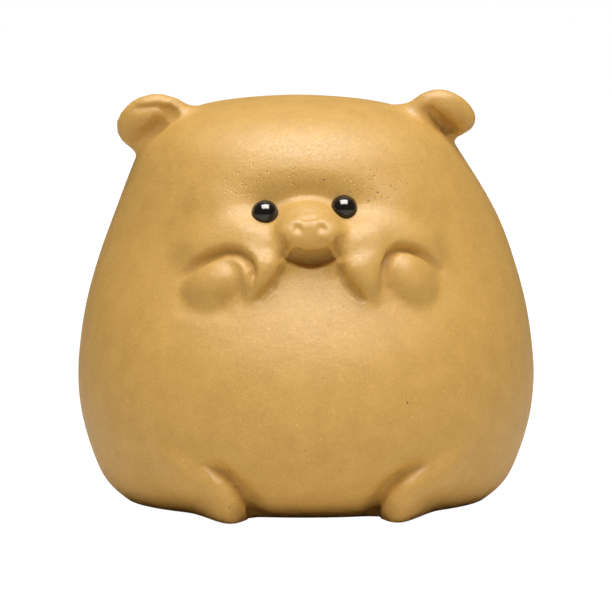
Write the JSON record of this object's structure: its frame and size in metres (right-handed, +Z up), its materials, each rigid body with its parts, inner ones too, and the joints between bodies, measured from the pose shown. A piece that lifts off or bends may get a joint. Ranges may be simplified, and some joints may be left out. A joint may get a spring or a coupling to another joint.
{
  "type": "pig figurine",
  "caption": "Chubby sitting pig pressed in unglazed yellow stoneware, hollow with a vent in its flat base, with paws held to its cheeks and glossy black bead eyes.",
  "frame": {"origin": "middle of the bounding box at the flat base", "axes": "+Z up; the face looks along -Y; +X is the pig's left, and is the longest extent"},
  "size_m": [0.0698, 0.0624, 0.0626],
  "materials": {
    "stoneware": "unglazed sandy yellow stoneware, satin",
    "bead": "glossy black"
  },
  "bodies": {
    "root": {"clay_body": "stoneware", "left_eye_bead": "bead", "right_eye_bead": "bead"}
  },
  "joints": []
}
